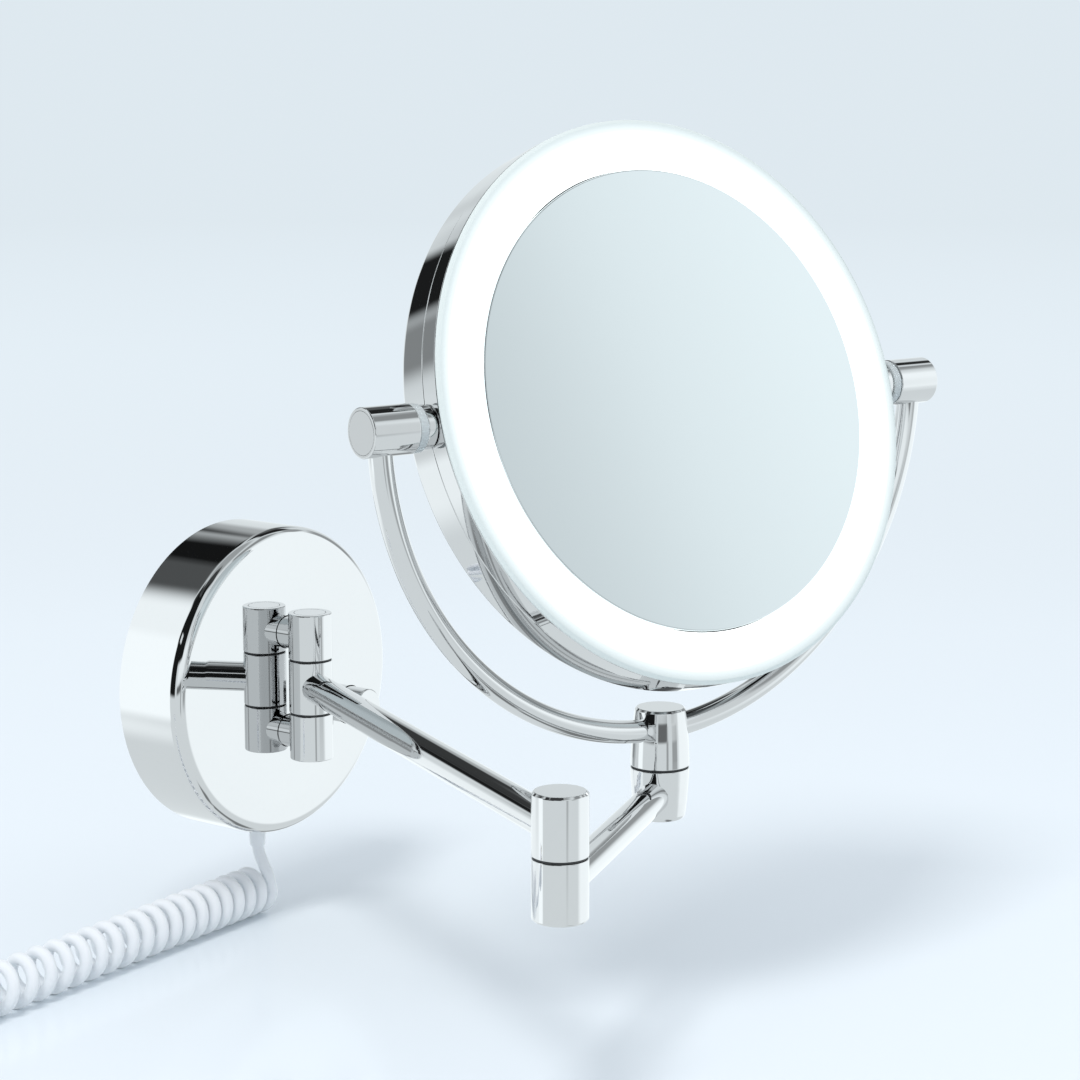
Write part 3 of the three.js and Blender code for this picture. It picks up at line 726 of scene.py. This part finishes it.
# %% [markdown]
# ## What stays as engineered
# Screws, pins, nuts, boards and wires keep their engineering shapes and only get a finish. They
# could all be made again too. Most of them are out of sight, and their shapes are already right.

# %% Finishes for the engineering nodes
for material, slot, names in (
    (STEEL, "plain_steel", ["wall_bracket", "cover_grub_screw", "post_screw_upper",
                            "post_screw_lower", "hinge_pin", "hinge_nut", "elbow_pin",
                            "elbow_nut", "swivel_pin"]),
    (GREY, "grey_plastic", ["driver_transformer", "button_switch_body", "mirror_carrier",
                            "head_frame"]),
    (BOARD, "circuit_board", ["driver_board"]),
    (LIGHT_BOARD, "led_board_white", ["led_board"]),
    (SHEATH, "wire_sheath", ["inner_arm_wire", "outer_arm_wire"]),
):
    for name in names:
        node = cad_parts[name]
        node.data.materials.clear()
        node.data.materials.append(material)
left = [n for n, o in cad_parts.items() if not o.hide_render]
print(len(left), "nodes kept as they are")

# %% [markdown]
# ## The studio
# Chrome has no colour of its own. It shows the room, so the room is built for it: a pale sky with
# soft-edged screens, brighter ones as windows and dark ones that draw the black bands. They could
# be real panels standing round the mirror, but those would shade the floor and get in the way of
# other views. So they are painted on the sky, and only polished surfaces see them. The camera and
# plain surfaces see plain pale light.

# %% The room that polished surfaces see
def screen_group():
    """The mask of a soft-edged rectangle on the sky. The view direction is turned so that the
    rectangle's middle lies along X. Its side and height angles are compared with the half sizes,
    and each edge fades over the softness."""
    g = bpy.data.node_groups.new("sky screen", "ShaderNodeTree")
    for name, kind in (("Direction", "NodeSocketVector"), ("Heading", "NodeSocketFloat"),
                       ("Half width", "NodeSocketFloat"), ("Height", "NodeSocketFloat"),
                       ("Half height", "NodeSocketFloat"), ("Softness", "NodeSocketFloat")):
        g.interface.new_socket(name, in_out="INPUT", socket_type=kind)
    g.interface.new_socket("Mask", in_out="OUTPUT", socket_type="NodeSocketFloat")
    new, link = g.nodes.new, g.links.new
    inputs, outputs = new("NodeGroupInput"), new("NodeGroupOutput")

    def maths(operation, a, b=None):
        node = new("ShaderNodeMath")
        node.operation = operation
        for k, v in enumerate((a, b)):
            if isinstance(v, (int, float)):
                node.inputs[k].default_value = v
            elif v is not None:
                link(v, node.inputs[k])
        return node.outputs[0]

    face = new("ShaderNodeVectorRotate")
    face.rotation_type = "Z_AXIS"
    link(inputs.outputs["Direction"], face.inputs["Vector"])
    link(maths("MULTIPLY", inputs.outputs["Heading"], -1), face.inputs["Angle"])
    parts = new("ShaderNodeSeparateXYZ")
    link(face.outputs[0], parts.inputs[0])
    masks = []
    for angle, half in (
        (maths("ARCTAN2", parts.outputs["Y"], parts.outputs["X"]), "Half width"),
        (maths("SUBTRACT", maths("ARCSINE", parts.outputs["Z"]), inputs.outputs["Height"]),
         "Half height"),
    ):
        inside = maths("SUBTRACT", inputs.outputs[half], maths("ABSOLUTE", angle))
        edge = maths("ADD", maths("DIVIDE", inside, inputs.outputs["Softness"]), 0.5)
        fade = new("ShaderNodeMapRange")
        fade.interpolation_type = "SMOOTHSTEP"
        link(edge, fade.inputs["Value"])
        masks.append(fade.outputs[0])
    link(maths("MULTIPLY", *masks), outputs.inputs["Mask"])
    return g


# Each screen has a heading and half width, a height and half height and a softness, in degrees,
# and then a brightness. Heading 0 is to the right along the wall, 90 is into it, 180 is to the
# left and 270 is out to the front. A later screen covers an earlier one.
SCREENS = [
    (0, 190, 82, 16, 10, 0.45),  # a grey ceiling, straight overhead
    (195, 52, 72, 12, 8, 0.06),  # a dark strip high on the left
    (88, 44, -17, 13, 10, 1.20),  # a bright band low behind
    (350, 46, -14, 12, 12, 1.25),  # a bright band low on the right
    (48, 12, 31, 14, 8, 0.50),  # grey, behind on the right
    (18, 24, 49, 11, 5, 0.02),  # black, high on the right
    (33, 8, 36, 12, 6, 0.12),  # the dark end of it
    (93, 21, 46, 12, 20, 0.10),  # dark and very soft, high behind
    (127, 14, 31, 13, 15, 1.25),  # a window behind on the left
    (66, 15, 46, 11, 9, 0.01),  # black, high behind on the right
    (136, 14, 55, 9, 5, 0.04),  # black, high behind on the left
    (66, 17, 25, 5, 5, 0.05),  # a narrow black strip under those
    (82, 9, 17, 5, 5, 0.015),  # a small black strip, lower behind
    (97, 6, 9, 6, 6, 0.30),  # a small dark patch over the horizon
    (112, 9, -9, 6, 4, 0.85),  # a pale patch just under the horizon
    (226, 19, -3, 2.5, 3, 0.18),  # a thin dark line at the horizon, front left
    (230, 22, 10, 9, 8, 1.15),  # a bright strip over that line
    (166, 26, 28, 34, 4, 0.012),  # a tall black screen on the left
    (206, 17, 42, 27, 5, 0.012),  # its neighbour towards the front, higher
    (168, 10, 31, 3, 2, 0.90),  # a pale slit in the tall screen
    (134, 10, 2, 22, 6, 1.35),  # a bright upright strip, behind on the left
    (322, 27, 8, 27, 14, 1.28),  # the large window, in front on the right
    (279, 14, 20, 26, 7, 0.86),  # a pale panel in front
    (272, 8, 22, 22, 8, 0.40),  # a grey strip inside that panel
    (315, 28, 50, 7, 6, 0.35),  # grey, over the large window
    (350, 12, 36, 6, 5, 0.40),  # a small grey patch beside it
    (358, 13, 15, 11, 8, 0.40),  # a grey patch on the right
    (245, 4, -10, 6, 5, 0.45),  # a narrow grey patch, low in front
    (276, 11, -9, 4, 5, 0.45),  # its neighbour to the right
    (264, 10, -60, 9, 8, 0.25),  # dark, far down in front
    (28, 8, -48, 16, 8, 0.35),  # dark, far down behind on the right
    (320, 45, -67, 6, 6, 0.25),  # dark, far down on the right
]
SKY = (0.82, 0.88, 0.90)
SCREEN_TINT = (0.92, 0.98, 1)
PLAIN_LIGHT = (0.75, 0.79, 0.845)  # what surfaces that aren't polished receive
NEAR, FAR = (0.80, 0.885, 0.95), (0.735, 0.815, 0.87)  # the haze near by, and the open sky
world = bpy.data.worlds.new("studio")
scene.world = world
world.use_nodes = True
tree = world.node_tree
tree.nodes.clear()
add, join = tree.nodes.new, tree.links.new
toward = add("ShaderNodeTexCoord").outputs["Generated"]
room = None
SCREEN = screen_group()
for heading, half_width, height, half_height, softness, brightness in SCREENS:
    screen, over = add("ShaderNodeGroup"), add("ShaderNodeMix")
    screen.node_tree = SCREEN
    over.data_type = "RGBA"
    join(toward, screen.inputs["Direction"])
    for socket, degrees in (("Heading", heading), ("Half width", half_width), ("Height", height),
                            ("Half height", half_height), ("Softness", softness)):
        screen.inputs[socket].default_value = math.radians(degrees)
    join(screen.outputs[0], over.inputs[0])
    over.inputs[7].default_value = (*(brightness * tint for tint in SCREEN_TINT), 1)
    if room is None:
        over.inputs[6].default_value = (*SKY, 1)
    else:
        join(room, over.inputs[6])
    room = over.outputs[2]
paths = add("ShaderNodeLightPath")
seen, plain = add("ShaderNodeMix"), add("ShaderNodeMix")
seen.data_type = plain.data_type = "RGBA"
join(paths.outputs["Is Glossy Ray"], seen.inputs[0])
seen.inputs[6].default_value = (*PLAIN_LIGHT, 1)
join(room, seen.inputs[7])
join(paths.outputs["Is Camera Ray"], plain.inputs[0])
join(seen.outputs[2], plain.inputs[6])
plain.inputs[7].default_value = (*FAR, 1)
background, out = add("ShaderNodeBackground"), add("ShaderNodeOutputWorld")
join(plain.outputs[2], background.inputs["Color"])
join(background.outputs[0], out.inputs["Surface"])
print(len(SCREENS), "screens on the sky")

# %% [markdown]
# ## The floor
# A studio floor is a pale sheet that sweeps up into the backdrop, so no line shows where it ends.
# A curved sheet could be built, but it would stand in the way of other views. A flat round floor
# that fades into the sky's own colour does the same from every side.

# %% Floor
def floor_material():
    """Pale paint with a faint gloss near the object. From half a metre to 2.2 metres from the
    object it fades into haze. The haze itself turns from its near colour to the sky's between 1
    and 4.5 metres, so no horizon shows. Seen from below the floor is clear."""
    m = finish("pale floor", [(0.85, 0.91, 0.95), (0.84, 0.90, 0.945)], (0.12, 0.16), scale=3,
               fine=60, Specular_IOR_Level=0.2)
    t = m.node_tree
    facing, clear, mix, fade, place, reach, away, haze = (t.nodes.new(k) for k in (
        "ShaderNodeNewGeometry", "ShaderNodeBsdfTransparent", "ShaderNodeMixShader",
        "ShaderNodeMixShader", "ShaderNodeTexCoord", "ShaderNodeVectorMath", "ShaderNodeMapRange",
        "ShaderNodeEmission"))
    depth, tint = t.nodes.new("ShaderNodeMapRange"), t.nodes.new("ShaderNodeMix")
    reach.operation = "LENGTH"
    away.interpolation_type = "SMOOTHSTEP"
    tint.data_type = "RGBA"
    for node, near, far in ((away, 0.5, 2.2), (depth, 1.0, 4.5)):
        node.inputs["From Min"].default_value = near
        node.inputs["From Max"].default_value = far
    tint.inputs[6].default_value = (*NEAR, 1)
    tint.inputs[7].default_value = (*FAR, 1)
    for output, socket in (
        (place.outputs["Object"], reach.inputs[0]),
        (reach.outputs["Value"], depth.inputs["Value"]), (depth.outputs[0], tint.inputs[0]),
        (tint.outputs[2], haze.inputs["Color"]), (reach.outputs["Value"], away.inputs["Value"]),
        (away.outputs[0], fade.inputs[0]), (t.nodes["Principled BSDF"].outputs[0], fade.inputs[1]),
        (haze.outputs[0], fade.inputs[2]), (facing.outputs["Backfacing"], mix.inputs[0]),
        (fade.outputs[0], mix.inputs[1]), (clear.outputs[0], mix.inputs[2]),
        (mix.outputs[0], t.nodes["Material Output"].inputs["Surface"]),
    ):
        t.links.new(output, socket)
    return m


FLOOR_RADIUS, FLOOR_SIDES = 25, 96
angles = np.linspace(0, 2 * np.pi, FLOOR_SIDES, endpoint=False)
floor_mesh = bpy.data.meshes.new("floor")
floor_mesh.from_pydata(
    np.column_stack([FLOOR_RADIUS * np.cos(angles), FLOOR_RADIUS * np.sin(angles),
                     np.full(FLOOR_SIDES, FLOOR_Z * MM)]), [], [tuple(range(FLOOR_SIDES))])
floor_mesh.materials.append(floor_material())
floor = bpy.data.objects.new("floor", floor_mesh)
scene.collection.objects.link(floor)
floor.visible_glossy = False
print("a floor", 2 * FLOOR_RADIUS, "m across at", round(FLOOR_Z * MM, 3), "m")

# %% [markdown]
# ## The soft light
# The sky alone lights everything evenly and leaves no shadow. One soft box, high up at the front
# left, gives the faint shadow that sets the cord on the floor. A sun lamp would draw it too hard.

# %% Soft light
WARM_WHITE = (1, 0.985, 0.97)


def soft_light(name, place, aim, width, power):
    """A square soft box that looks from its place to its aim, unseen by camera and reflections.
    Its tilt is the angle whose tangent is the level distance over the drop."""
    data = bpy.data.lights.new(name, "AREA")
    data.size, data.energy, data.color = width, power, WARM_WHITE
    made = bpy.data.objects.new(name, data)
    scene.collection.objects.link(made)
    made.location = place
    way = np.array(aim) - np.array(place)
    flat = math.hypot(way[0], way[1])
    made.rotation_euler = (math.atan2(flat, -way[2]), 0, math.atan2(way[1], way[0]) - math.pi / 2)
    made.visible_camera = made.visible_glossy = False
    return made


soft_light("key", (-1.2, -0.5, 2.1), (-0.05, -0.15, 0), 0.7, 24)
print("one soft light and a pale sky")
